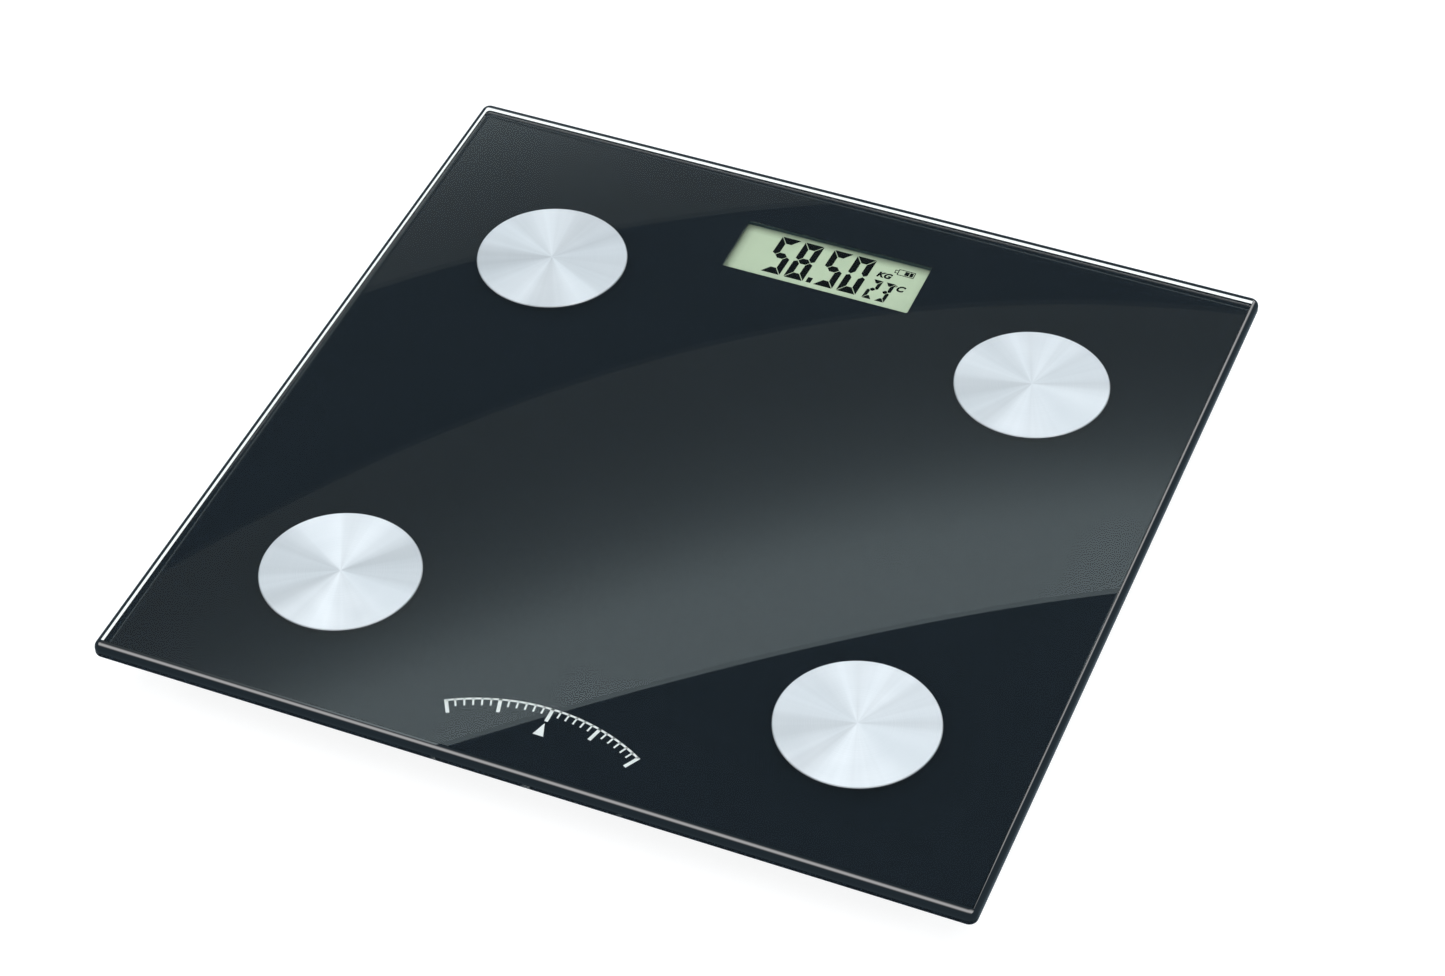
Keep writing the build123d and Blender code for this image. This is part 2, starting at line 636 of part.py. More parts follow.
def single_nodes():
    front = BATTERY_FRONT_Y
    back = BATTERY_BACK_Y
    return {
        "glass_platform": glass_platform(),
        "backing_film": backing_film(),
        "display_housing": display_housing(),
        "housing_cover": housing_cover(),
        "battery_door": battery_door(),
        "door_latch": door_latch(),
        "battery_front": battery(front, 1),
        "battery_back": battery(back, -1),
        "battery_bridge_contact": contact(
            -1, 62.6, 82.4, [(front, NEGATIVE_X), (back, POSITIVE_X)], None
        ),
        "battery_positive_contact": contact(1, 62.6, 71.4, [(front, POSITIVE_X)], front),
        "battery_negative_contact": contact(1, 73.6, 82.4, [(back, NEGATIVE_X)], back),
        "battery_leads": battery_leads(),
        "lcd_panel": lcd_panel(),
        "lcd_reflector": lcd_reflector(),
        "lcd_holder": lcd_holder(),
        "window_gasket": window_frame(
            HOLDER_W, HOLDER_D, WINDOW_W + 2, WINDOW_D + 2, TAPE_Z, FILM_Z
        ),
        "zebra_strip": zebra_strip(),
        "circuit_board": circuit_board(),
        "chip_cap": chip_cap(),
        "tact_switch": tact_switch(),
        "tact_plunger": tact_plunger(),
        "unit_button": unit_button(),
    }


os.makedirs("parts", exist_ok=True)
for node, shape in {**single_nodes(), **corner_nodes(), **grouped_nodes()}.items():
    export_step(shape, f"parts/{node}.step")
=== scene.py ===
import json
from math import cos, radians, sin, tan

import bpy
from mathutils import Matrix, Vector
from mathutils.geometry import intersect_line_plane

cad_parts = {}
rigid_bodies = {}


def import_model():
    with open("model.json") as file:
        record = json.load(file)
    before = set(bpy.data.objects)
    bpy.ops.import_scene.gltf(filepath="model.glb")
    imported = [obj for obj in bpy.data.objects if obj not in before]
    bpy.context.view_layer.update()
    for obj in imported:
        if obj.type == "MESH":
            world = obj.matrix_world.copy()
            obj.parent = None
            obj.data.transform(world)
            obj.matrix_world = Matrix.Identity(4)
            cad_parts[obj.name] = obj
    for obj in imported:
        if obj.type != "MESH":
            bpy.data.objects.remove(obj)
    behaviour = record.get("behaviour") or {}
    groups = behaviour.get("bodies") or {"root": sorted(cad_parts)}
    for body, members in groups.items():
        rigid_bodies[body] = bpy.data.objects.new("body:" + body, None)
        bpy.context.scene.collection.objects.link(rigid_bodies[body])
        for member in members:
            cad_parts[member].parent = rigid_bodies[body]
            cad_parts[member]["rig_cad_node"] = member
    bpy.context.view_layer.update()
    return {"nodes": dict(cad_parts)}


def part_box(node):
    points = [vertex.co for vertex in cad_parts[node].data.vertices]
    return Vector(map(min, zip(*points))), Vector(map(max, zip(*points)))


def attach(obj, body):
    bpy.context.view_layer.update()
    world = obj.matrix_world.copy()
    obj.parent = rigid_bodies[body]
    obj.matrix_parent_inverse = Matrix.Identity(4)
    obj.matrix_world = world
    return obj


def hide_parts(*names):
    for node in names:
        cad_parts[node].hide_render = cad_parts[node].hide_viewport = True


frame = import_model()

# A glass bathroom scale on a white floor. Metres; the frame is the CAD's own.

MM = 0.001
NODES = frame["nodes"]
CORNERS = ("front_left", "front_right", "back_left", "back_right")

PLATE_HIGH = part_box("glass_platform")[1]
FILM_LOW, FILM_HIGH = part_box("backing_film")
LCD_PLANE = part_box("lcd_panel")[1].z
HOLDER_LOW, HOLDER_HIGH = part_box("lcd_holder")
HALF_PLATE = PLATE_HIGH.x
GLASS_TOP = PLATE_HIGH.z

# The film's clear window, which is centred on the LCD's holder
WINDOW_W = 65.5 * MM
WINDOW_D = 24.5 * MM
WINDOW_MIDDLE = (HOLDER_LOW + HOLDER_HIGH) / 2
WINDOW_CORNER = Vector((WINDOW_MIDDLE.x - WINDOW_W / 2, WINDOW_MIDDLE.y - WINDOW_D / 2, 0))

# Thickness of printed ink and of the LCD's segments
INK_T = 0.02 * MM


# ---------------------------------------------------------------- materials

# Most of a noise texture's values lie between these
NOISE_LOW = 0.3
NOISE_HIGH = 0.7


class Tree:
    """A material's nodes, made in a few lines."""

    def __init__(self, name):
        self.material = bpy.data.materials.new(name)
        self.material.use_nodes = True
        self.nodes = self.material.node_tree.nodes
        self.shader = self.nodes["Principled BSDF"]
        self.output = self.nodes["Material Output"]

    def add(self, kind, **values):
        """A node; each value is an input's, or a plain attribute's if no input has that name."""
        node = self.nodes.new("ShaderNode" + kind)
        for name, value in values.items():
            label = name.replace("_", " ")
            if label in node.inputs:
                self.put(node.inputs[label], value)
            else:
                setattr(node, name, value)
        return node

    def put(self, socket, value):
        if isinstance(value, bpy.types.NodeSocket):
            self.material.node_tree.links.new(value, socket)
        else:
            socket.default_value = value

    def set(self, **values):
        for name, value in values.items():
            self.put(self.shader.inputs[name.replace("_", " ")], value)

    def place(self, grain, stretch=(1, 1, 1)):
        """Object coordinates divided by a grain size in metres."""
        coords = self.add("TexCoord")
        mapping = self.add("Mapping", Vector=coords.outputs["Object"])
        mapping.inputs["Scale"].default_value = [s / grain for s in stretch]
        return mapping.outputs["Vector"]

    def noise(self, grain, detail=3.0, stretch=(1, 1, 1)):
        vector = self.place(grain, stretch)
        return self.add("TexNoise", Vector=vector, Scale=1.0, Detail=detail).outputs["Fac"]

    def spread(self, value, low, high, near=NOISE_LOW, far=NOISE_HIGH):
        """value from near..far mapped to low..high."""
        ranger = self.add("MapRange", Value=value)
        for name, number in (("From Min", near), ("From Max", far), ("To Min", low), ("To Max", high)):
            ranger.inputs[name].default_value = number
        return ranger.outputs["Result"]

    def ramp(self, factor, stops, interpolation="LINEAR"):
        """A colour ramp through (position, colour) stops, in rising order."""
        node = self.add("ValToRGB", Fac=factor)
        node.color_ramp.interpolation = interpolation
        elements = node.color_ramp.elements
        for index, (position, colour) in enumerate(stops):
            element = elements[index] if index < 2 else elements.new(position)
            element.position = position
            element.color = (*colour, 1)
        return node.outputs["Color"]

    def tint(self, noise, low, high):
        return self.ramp(noise, ((NOISE_LOW, low), (NOISE_HIGH, high)))

    def maths(self, operation, *values):
        node = self.add("Math", operation=operation)
        for socket, value in zip(node.inputs, values):
            self.put(socket, value)
        return node.outputs["Value"]

    def vector(self, operation, *values):
        node = self.add("VectorMath", operation=operation)
        for socket, value in zip(node.inputs, values):
            self.put(socket, value)
        return node.outputs["Vector"]

    def split(self, space):
        """The X, Y and Z outputs of one of Texture Coordinate's spaces."""
        coords = self.add("TexCoord")
        return self.add("SeparateXYZ", Vector=coords.outputs[space]).outputs

    def scaled(self, colour, factor):
        """A colour times a number."""
        node = self.add("VectorMath", operation="SCALE")
        self.put(node.inputs[0], colour)
        self.put(node.inputs["Scale"], factor)
        return node.outputs["Vector"]

    def relief(self, height, distance, strength=1.0):
        bump = self.add("Bump", Height=height, Distance=distance, Strength=strength)
        return bump.outputs["Normal"]

    def clear_where(self, factor, tint=(1, 1, 1, 1)):
        """Gives way to a Transparent shader where factor is 1."""
        clear = self.add("BsdfTransparent", Color=tint)
        mix = self.add("MixShader")
        self.put(mix.inputs[0], factor)
        self.put(mix.inputs[1], self.shader.outputs["BSDF"])
        self.put(mix.inputs[2], clear.outputs["BSDF"])
        self.put(self.output.inputs["Surface"], mix.outputs["Shader"])


def mottled(name, low, high, rough, grain, depth, metallic=0.0, stretch=(1, 1, 1)):
    """Slightly uneven colour and gloss with a fine relief: moulded plastic, rubber, plated metal."""
    tree = Tree(name)
    broad = tree.noise(12 * MM, 4.0)
    fine = tree.noise(grain, 3.0, stretch)
    tree.set(
        Base_Color=tree.tint(broad, low, high),
        Roughness=tree.spread(fine, *rough),
        Metallic=metallic,
        Normal=tree.relief(fine, depth),
    )
    return tree.material


# How far the painted dark rim reaches in from the plate's edges
RIM_FRONT = 2.9 * MM
RIM_BACK = 2.6 * MM
RIM_SIDE = 1.8 * MM
RIM_SOFTNESS = 0.15 * MM


def painted_dark_rim(tree):
    """1 on the upper part of the plate's rounded rim, seen from outside, where the glass gets painted
    shade, and 0 everywhere else.
    """
    place = tree.split("Object")
    side = tree.maths("SUBTRACT", tree.maths("ABSOLUTE", place["X"]), HALF_PLATE - RIM_SIDE)
    back = tree.maths("SUBTRACT", place["Y"], HALF_PLATE - RIM_BACK)
    front = tree.maths("SUBTRACT", RIM_FRONT - HALF_PLATE, place["Y"])
    outward = tree.maths("MAXIMUM", tree.maths("MAXIMUM", side, back), front)
    around = tree.spread(outward, 0.0, 1.0, -RIM_SOFTNESS, RIM_SOFTNESS)
    low = GLASS_TOP - RIM_FRONT
    upper = tree.spread(place["Z"], 0.0, 1.0, low - RIM_SOFTNESS, low + RIM_SOFTNESS)
    band = tree.maths("MULTIPLY", around, upper)
    outside = tree.maths("SUBTRACT", 1.0, tree.add("NewGeometry").outputs["Backfacing"])
    return tree.maths("MULTIPLY", band, outside)


def wiped_gloss(tree):
    """Polished glass's roughness, with faint wipe marks."""
    return tree.spread(tree.noise(30 * MM, 6.0, (1, 4, 1)), 0.0, 0.012, 0.45, 0.75)


def plate_glass():
    """Clear low-iron glass with a painted dark rim, painted shade where the real edge only looks dark;
    lamps' rays pass straight through it.

    The film bonded underneath carries the plate's mirror reflection, so the glass has none of its own.
    """
    tree = Tree("platform_glass")
    rim = painted_dark_rim(tree)
    # Painted shade: the rim is coloured near black and made opaque
    clear, dark = (0.93, 0.97, 0.965), (0.001, 0.003, 0.005)
    # It darkens before it turns opaque, so that no bright line shows where the rim begins
    colour = tree.ramp(rim, ((0.0, clear), (0.04, dark)))
    mirror = tree.add("CombineXYZ", X=rim, Y=rim, Z=rim)
    tree.set(
        Base_Color=colour,
        Roughness=wiped_gloss(tree),
        Transmission_Weight=tree.maths("SUBTRACT", 1.0, rim),
        Specular_IOR_Level=1.0,
        Specular_Tint=mirror.outputs["Vector"],
        IOR=1.52,
    )
    tree.clear_where(tree.add("LightPath").outputs["Is Shadow Ray"], (0.86, 0.92, 0.91, 1))
    return tree.material


def black_print():
    """Dense black ink with a slight blue cast, as smooth as the glass that it is printed on."""
    tree = Tree("black_print")
    cloud = tree.noise(20 * MM, 4.0)
    tree.set(
        Base_Color=tree.tint(cloud, (0.0027, 0.0044, 0.0068), (0.0032, 0.0049, 0.0075)),
        Roughness=wiped_gloss(tree),
        Specular_IOR_Level=0.53,
    )
    return tree.material


def white_print():
    """Opaque screen-print ink."""
    tree = Tree("white_print")
    grain = tree.noise(0.3 * MM, 2.0)
    tree.set(
        Base_Color=tree.tint(grain, (0.6864, 0.702, 0.702), (0.7488, 0.7566, 0.7566)),
        Roughness=tree.spread(grain, 0.4, 0.55),
    )
    return tree.material


def spun_metal():
    """Stainless disc with fine circular brushing, so that highlights open as cones; its colour also holds
    painted highlight wedges and painted shade on its wall.
    """
    tree = Tree("brushed_disc")
    coords = tree.add("TexCoord")
    centred = tree.vector("SUBTRACT", coords.outputs["Generated"], (0.5, 0.5, 0))
    flat = tree.vector("MULTIPLY", centred, (1, 1, 0))
    length = tree.add("VectorMath", operation="LENGTH")
    tree.put(length.inputs[0], flat)
    radius = length.outputs["Value"]
    rings = tree.add("TexNoise", noise_dimensions="1D", W=radius, Scale=260.0, Detail=4.0)
    # Painted highlight: light wedges in the colour that fan out from the middle, turned differently on
    # each disc
    turned = tree.vector("ADD", tree.vector("NORMALIZE", flat), tree.add("ObjectInfo").outputs["Random"])
    wedges = tree.add("TexNoise", Vector=turned, Scale=1.2, Detail=4.0)
    painted_highlight_wedges = tree.spread(wedges.outputs["Fac"], 0.84, 1.08, 0.38, 0.62)
    # Painted shade: the thin outer wall is darker than the face
    facing = tree.add("SeparateXYZ", Vector=coords.outputs["Normal"])
    painted_wall_shade = tree.spread(facing.outputs["Z"], 0.12, 1.0, 0.3, 0.9)
    cloud = tree.noise(6 * MM, 3.0)
    tangent = tree.add("Tangent", direction_type="RADIAL", axis="Z")
    metal = tree.tint(rings.outputs["Fac"], (0.615, 0.65, 0.68), (0.69, 0.72, 0.745))
    tree.set(
        Base_Color=tree.scaled(metal, tree.maths("MULTIPLY", painted_wall_shade, painted_highlight_wedges)),
        Metallic=0.42,
        Roughness=tree.spread(cloud, 0.30, 0.36),
        Anisotropic=0.75,
        Anisotropic_Rotation=0.25,
        Tangent=tangent.outputs["Tangent"],
        Normal=tree.relief(rings.outputs["Fac"], 0.006 * MM, 0.6),
    )
    return tree.material


def lcd_face():
    """Grey-green reflective liquid-crystal face, with painted shade beside the recess's left and back
    walls.
    """
    tree = Tree("lcd_face")
    grain = tree.noise(0.25 * MM, 2.0)
    place = tree.split("Object")
    left = WINDOW_CORNER.x
    back = WINDOW_CORNER.y + WINDOW_D
    # Painted shade: the face darkens towards the recess's left and back walls
    painted_left_darkening = tree.spread(place["X"], 0.6, 1.0, left - 0.5 * MM, left + 3.0 * MM)
    painted_back_darkening = tree.spread(place["Y"], 1.0, 0.5, back - 3.2 * MM, back + 0.3 * MM)
    painted_shade_factor = tree.maths("MULTIPLY", painted_left_darkening, painted_back_darkening)
    face = tree.tint(grain, (0.42, 0.468, 0.338), (0.44, 0.49, 0.354))
    tree.set(
        Base_Color=tree.scaled(face, painted_shade_factor),
        Roughness=tree.spread(grain, 0.35, 0.45),
    )
    return tree.material


def lcd_ink():
    """Switched segments: near black, with a trace of the green behind."""
    tree = Tree("lcd_segment")
    grain = tree.noise(0.2 * MM, 2.0)
    tree.set(
        Base_Color=tree.tint(grain, (0.001, 0.0012, 0.001), (0.002, 0.0024, 0.002)),
        Roughness=tree.spread(grain, 0.5, 0.65),
        Specular_IOR_Level=0.0,
    )
    return tree.material


def battery_wrap():
    """Plastic sleeve with a plain colour band round its positive end."""
    tree = Tree("battery_wrap")
    bare_end, green, gold = (0.55, 0.55, 0.54), (0.05, 0.16, 0.09), (0.62, 0.45, 0.12)
    bands = ((0.0, bare_end), (0.02, green), (0.72, gold))
    wear = tree.noise(2 * MM, 4.0)
    tree.set(
        Base_Color=tree.ramp(tree.split("Generated")["X"], bands, "CONSTANT"),
        Metallic=0.3,
        Roughness=tree.spread(wear, 0.22, 0.34),
        Normal=tree.relief(wear, 0.01 * MM),
    )
    return tree.material


def circuit_laminate():
    """Green solder mask with straight copper tracks showing through it."""
    tree = Tree("board_laminate")
    tracks = tree.add(
        "TexBrick", Vector=tree.place(1 * MM), Scale=1.0,
        Mortar_Size=0.08, Brick_Width=3.0, Row_Height=1.2,
        Color1=(0.012, 0.13, 0.05, 1), Color2=(0.010, 0.11, 0.045, 1), Mortar=(0.04, 0.26, 0.10, 1),
    )
    weave = tree.noise(0.8 * MM, 2.0)
    tree.set(
        Base_Color=tracks.outputs["Color"],
        Roughness=tree.spread(weave, 0.25, 0.4),
        Normal=tree.relief(weave, 0.02 * MM),
    )
    return tree.material


def dress(material, *names):
    """Gives CAD nodes a material."""
    for name in names:
        for entry in NODES[name].material_slots:
            entry.material = material


def each_corner(stem):
    return [f"{stem}_{corner}" for corner in CORNERS]


HOUSING_NODES = ["display_housing", "housing_cover", "battery_door", "door_latch"]
HOUSING_NODES += each_corner("cell_carrier") + each_corner("wire_duct")

# Nodes by plain finish: its dark and light colours, roughness range, grain in mm, relief in mm
MOULDED = {
    "housing_plastic": (
        (0.022, 0.023, 0.025), (0.032, 0.033, 0.035), (0.42, 0.62), 0.5, 0.04, HOUSING_NODES,
    ),
    "foot_plastic": (
        (0.016, 0.016, 0.018), (0.024, 0.024, 0.026), (0.38, 0.55), 0.6, 0.04,
        each_corner("foot_cap") + ["tact_switch", "tact_plunger"],
    ),
    "foot_rubber": (
        (0.05, 0.05, 0.052), (0.085, 0.084, 0.082), (0.75, 0.95), 0.7, 0.08, each_corner("foot_pad"),
    ),
    "white_tape": (
        (0.70, 0.70, 0.67), (0.84, 0.84, 0.81), (0.7, 0.9), 0.6, 0.05,
        ["mounting_tape", "electrode_adhesive"],
    ),
    "natural_nylon": (
        (0.62, 0.60, 0.52), (0.78, 0.76, 0.68), (0.4, 0.55), 0.8, 0.02, ["electrode_washers"],
    ),
    "gauge_sealant": (
        (0.72, 0.70, 0.64), (0.86, 0.85, 0.80), (0.3, 0.5), 1.2, 0.1, ["strain_gauges"],
    ),
    "wire_insulation": (
        (0.42, 0.03, 0.02), (0.56, 0.05, 0.035), (0.35, 0.5), 0.8, 0.02,
        ["battery_leads"] + each_corner("load_cell_leads"),
    ),
    "lead_insulation": (
        (0.30, 0.31, 0.33), (0.40, 0.41, 0.43), (0.35, 0.5), 0.8, 0.02, ["electrode_leads"],
    ),
    "reflector_foam": (
        (0.5, 0.58, 0.5), (0.6, 0.68, 0.6), (0.6, 0.8), 0.6, 0.03, ["lcd_reflector"],
    ),
    "holder_plastic": (
        (0.012, 0.028, 0.034), (0.018, 0.040, 0.048), (0.3, 0.45), 0.5, 0.02, ["lcd_holder"],
    ),
    "gasket_foam": (
        (0.012, 0.014, 0.015), (0.024, 0.026, 0.028), (0.8, 0.95), 0.4, 0.08, ["window_gasket"],
    ),
    "chip_epoxy": (
        (0.006, 0.006, 0.006), (0.012, 0.012, 0.012), (0.15, 0.3), 3.0, 0.1, ["chip_cap"],
    ),
    "component_body": (
        (0.10, 0.07, 0.04), (0.45, 0.38, 0.26), (0.3, 0.5), 0.6, 0.01, ["surface_mount_parts"],
    ),
    "button_plastic": (
        (0.36, 0.36, 0.38), (0.44, 0.44, 0.46), (0.25, 0.4), 0.7, 0.02, ["unit_button"],
    ),
}

# The same for metals, which all have the same slight relief
METALS = {
    "plated_steel": (
        (0.55, 0.56, 0.58), (0.72, 0.73, 0.75), (0.18, 0.34), 0.4,
        ["electrode_nuts", "cover_screws", "board_screws"],
    ),
    "spring_plate": (
        (0.6, 0.58, 0.52), (0.78, 0.76, 0.7), (0.2, 0.35), 0.5,
        ["battery_bridge_contact", "battery_positive_contact", "battery_negative_contact"],
    ),
    "tinned_brass": (
        (0.55, 0.48, 0.30), (0.72, 0.66, 0.46), (0.25, 0.4), 0.4, ["electrode_terminals"],
    ),
}
METAL_RELIEF = 0.01 * MM


def dress_plain_nodes():
    """Everything with an even, slightly mottled surface."""
    for name, (low, high, rough, grain, depth, nodes) in MOULDED.items():
        dress(mottled(name, low, high, rough, grain * MM, depth * MM), *nodes)
    for name, (low, high, rough, grain, nodes) in METALS.items():
        dress(mottled(name, low, high, rough, grain * MM, METAL_RELIEF, metallic=1.0), *nodes)
    cell = mottled(
        "cell_steel", (0.50, 0.50, 0.50), (0.62, 0.62, 0.61), (0.25, 0.42), 0.6 * MM, METAL_RELIEF,
        metallic=1.0, stretch=(1, 8, 1),
    )
    dress(cell, *each_corner("load_cell"))
    zebra = mottled(
        "zebra_rubber", (0.10, 0.10, 0.11), (0.45, 0.45, 0.47), (0.5, 0.6), 0.2 * MM, 0.01 * MM,
        stretch=(1, 0.1, 0.1),
    )
    dress(zebra, "zebra_strip")


def dress_nodes():
    dress_plain_nodes()
    dress(plate_glass(), "glass_platform")
    dress(spun_metal(), *each_corner("electrode_disc"))
    dress(battery_wrap(), "battery_front", "battery_back")
    dress(lcd_face(), "lcd_panel")
    dress(circuit_laminate(), "circuit_board")
    # The film would mirror these as dark crescents beside the discs
    for name in each_corner("electrode_disc") + ["electrode_adhesive"]:
        NODES[name].visible_transmission = False
        NODES[name].visible_glossy = False


# ---------------------------------------------------------------- pieces


def linked_object(name, data):
    thing = bpy.data.objects.new(name, data)
    bpy.context.scene.collection.objects.link(thing)
    return thing


def new_mesh(name, verts, faces, material):
    mesh = bpy.data.meshes.new(name)
    mesh.from_pydata([tuple(v) for v in verts], [], faces)
    mesh.update()
    mesh.materials.append(material)
    return mesh


def platform_piece(name, mesh):
    piece = linked_object(name, mesh)
    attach(piece, "platform")


def prisms(outlines, low, high):
    """Vertices and faces of flat-topped prisms from counter-clockwise outlines."""
    verts = []
    faces = []
    for outline in outlines:
        first = len(verts)
        count = len(outline)
        verts += [(x, y, low) for x, y in outline]
        verts += [(x, y, high) for x, y in outline]
        faces.append(tuple(range(first + count - 1, first - 1, -1)))
        faces.append(tuple(range(first + count, first + 2 * count)))
        for i in range(count):
            j = (i + 1) % count
            faces.append((first + i, first + j, first + count + j, first + count + i))
    return verts, faces


def bonded_film():
    """The printed film, lifted into the glass by an ink's thickness, so that they are optically joined."""
    source = NODES["backing_film"]
    film = source.copy()
    film.data = source.data.copy()
    film.name = "printed_film"
    del film["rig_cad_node"]
    middle = (FILM_LOW.z + FILM_HIGH.z) / 2
    for vertex in film.data.vertices:
        if vertex.co.z > middle:
            vertex.co.z += INK_T
    film.data.materials.clear()
    film.data.materials.append(black_print())
    bpy.context.scene.collection.objects.link(film)
    film.parent = None
    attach(film, "platform")
    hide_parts("backing_film")


# Seven-segment digits: the segments that are lit, in the order of SEGMENTS
SEGMENTS = ("top", "upper_right", "lower_right", "bottom", "lower_left", "upper_left", "middle")
LIT = {
    "0": "top upper_right lower_right bottom lower_left upper_left",
    "2": "top upper_right bottom lower_left middle",
    "3": "top upper_right lower_right bottom middle",
    "5": "top lower_right bottom upper_left middle",
    "8": "top upper_right lower_right bottom lower_left upper_left middle",
}


def segment_outlines(digit, width, height, upright, crossbar, gap):
    """Outlines of a digit's lit segments, in a box from (0, 0) to (width, height)."""
    half = height / 2
    g = gap / 2
    b = upright
    c = crossbar
    m = crossbar * 0.45
    shapes = {
        "bottom": [(g, 0), (width - g, 0), (width - b - g, c), (b + g, c)],
        "top": [(b + g, height - c), (width - b - g, height - c), (width - g, height), (g, height)],
        "lower_left": [(0, g), (b, c + g), (b, half - m - g), (b / 2, half - g), (0, half - m / 2 - g)],
        "upper_left": [(b / 2, half + g), (b, half + m + g), (b, height - c - g), (0, height - g),
                       (0, half + m / 2 + g)],
        "middle": [(b / 2 + g, half), (b + g, half - m), (width - b - g, half - m),
                   (width - b / 2 - g, half), (width - b - g, half + m), (b + g, half + m)],
    }
    for side in ("lower", "upper"):
        mirrored = [(width - x, y) for x, y in reversed(shapes[side + "_left"])]
        shapes[side + "_right"] = mirrored
    return [shapes[name] for name in SEGMENTS if name in LIT[digit].split()]


# The LCD's layout: mm from the window's lower left corner. Each digit or label has its left edge.
WEIGHT_DIGITS = (("5", 11.9), ("8", 20.15), ("5", 30.6), ("0", 38.85))
WEIGHT_SHAPE = {"width": 6.8, "height": 18.8, "upright": 2.3, "crossbar": 3.1, "gap": 0.36}
WEIGHT_LOW = 4.3
WEIGHT_LEAN = tan(radians(2.5))
POINT_LEFT, POINT_LOW = 28.0, 4.4
POINT_W, POINT_H = 1.7, 2.6

TEMPERATURE_DIGITS = (("2", 47.9), ("3", 52.3))
TEMPERATURE_SHAPE = {"width": 3.4, "height": 10.0, "upright": 1.25, "crossbar": 1.75, "gap": 0.26}
TEMPERATURE_LOW = 4.1
TEMPERATURE_LEAN = tan(radians(5))

# A label's capitals are this part of the built-in typeface's size
CAPITAL_HEIGHT = 0.69


def on_lcd(points, left, low, lean):
    """Digit points in mm, leaned and moved to their place in the window."""
    placed = []
    for x, y in points:
        shifted = x + y * lean + left
        placed.append((WINDOW_CORNER.x + shifted * MM, WINDOW_CORNER.y + (y + low) * MM))
    return placed


def lcd_piece(name, outlines, ink):
    verts, faces = prisms(outlines, LCD_PLANE, LCD_PLANE + INK_T)
    platform_piece(name, new_mesh(name, verts, faces, ink))


def digit_outlines(digits, shape, low, lean):
    outlines = []
    for digit, left in digits:
        for segment in segment_outlines(digit, **shape):
            outlines.append(on_lcd(segment, left, low, lean))
    return outlines


def weight_digits(ink):
    """The large reading."""
    outlines = digit_outlines(WEIGHT_DIGITS, WEIGHT_SHAPE, WEIGHT_LOW, WEIGHT_LEAN)
    point = [(0, 0), (POINT_W, 0), (POINT_W, POINT_H), (0, POINT_H)]
    outlines.append(on_lcd(point, POINT_LEFT, POINT_LOW, WEIGHT_LEAN))
    lcd_piece("weight_digits", outlines, ink)


def temperature_digits(ink):
    """The small reading."""
    outlines = digit_outlines(TEMPERATURE_DIGITS, TEMPERATURE_SHAPE, TEMPERATURE_LOW, TEMPERATURE_LEAN)
    lcd_piece("temperature_digits", outlines, ink)


def ring_outlines(centre, outer, inner, steps, start=0.0, end=360.0):
    """A flat arc or full ring, as one outline a step."""
    outlines = []
    for i in range(steps):
        a = radians(start + (end - start) * i / steps)
        b = radians(start + (end - start) * (i + 1) / steps)
        outlines.append([
            (centre[0] + inner * cos(a), centre[1] + inner * sin(a)),
            (centre[0] + outer * cos(a), centre[1] + outer * sin(a)),
            (centre[0] + outer * cos(b), centre[1] + outer * sin(b)),
            (centre[0] + inner * cos(b), centre[1] + inner * sin(b)),
        ])
    return outlines


def lcd_label(name, text, left, low, height, ink):
    """A unit label in the built-in plain typeface, leaned and made bold."""
    curve = bpy.data.curves.new(name, "FONT")
    curve.body = text
    curve.size = height * MM / CAPITAL_HEIGHT
    curve.shear = 0.25
    curve.offset = height * MM * 0.075
    curve.extrude = INK_T / 2
    label = linked_object(name, curve)
    x, y = on_lcd([(0, 0)], left, low, 0)[0]
    label.location = (x, y, LCD_PLANE + INK_T / 2)
    bpy.context.view_layer.update()
    mesh = bpy.data.meshes.new_from_object(label.evaluated_get(bpy.context.evaluated_depsgraph_get()))
    mesh.transform(label.matrix_world)
    mesh.materials.clear()
    mesh.materials.append(ink)
    bpy.data.objects.remove(label)
    platform_piece(name, mesh)


def battery_icon(ink):
    """Outline of a cell with its cap to the left and two bars of charge."""
    left, low, width, height, line = 54.9, 18.9, 5.9, 3.0, 0.3
    tip, cap_low, bar_low = -1.1, 0.7, 0.55
    cap_high, bar_high = height - cap_low, height - bar_low
    case = [
        (0, 0, width, line),
        (0, height - line, width, height),
        (0, 0, line, height),
        (width - line, 0, width, height),
    ]
    cap = [
        (tip, cap_low, 0, cap_low + line),
        (tip, cap_high - line, 0, cap_high),
        (tip, cap_low, tip + line, cap_high),
    ]
    bars = [(2.4, bar_low, 3.9, bar_high), (4.15, bar_low, 5.35, bar_high)]
    outlines = []
    for x0, y0, x1, y1 in case + cap + bars:
        outlines.append(on_lcd([(x0, y0), (x1, y0), (x1, y1), (x0, y1)], left, low, 0))
    lcd_piece("battery_icon", outlines, ink)


def degree_ring(ink):
    centre = on_lcd([(0, 0)], 56.8, 13.3, 0)[0]
    lcd_piece("degree_ring", ring_outlines(centre, 0.48 * MM, 0.2 * MM, 20), ink)


def lcd_readout():
    ink = lcd_ink()
    weight_digits(ink)
    temperature_digits(ink)
    battery_icon(ink)
    degree_ring(ink)
    lcd_label("unit_label", "KG", 48.7, 15.9, 2.4, ink)
    lcd_label("degree_label", "C", 57.1, 11.2, 2.6, ink)


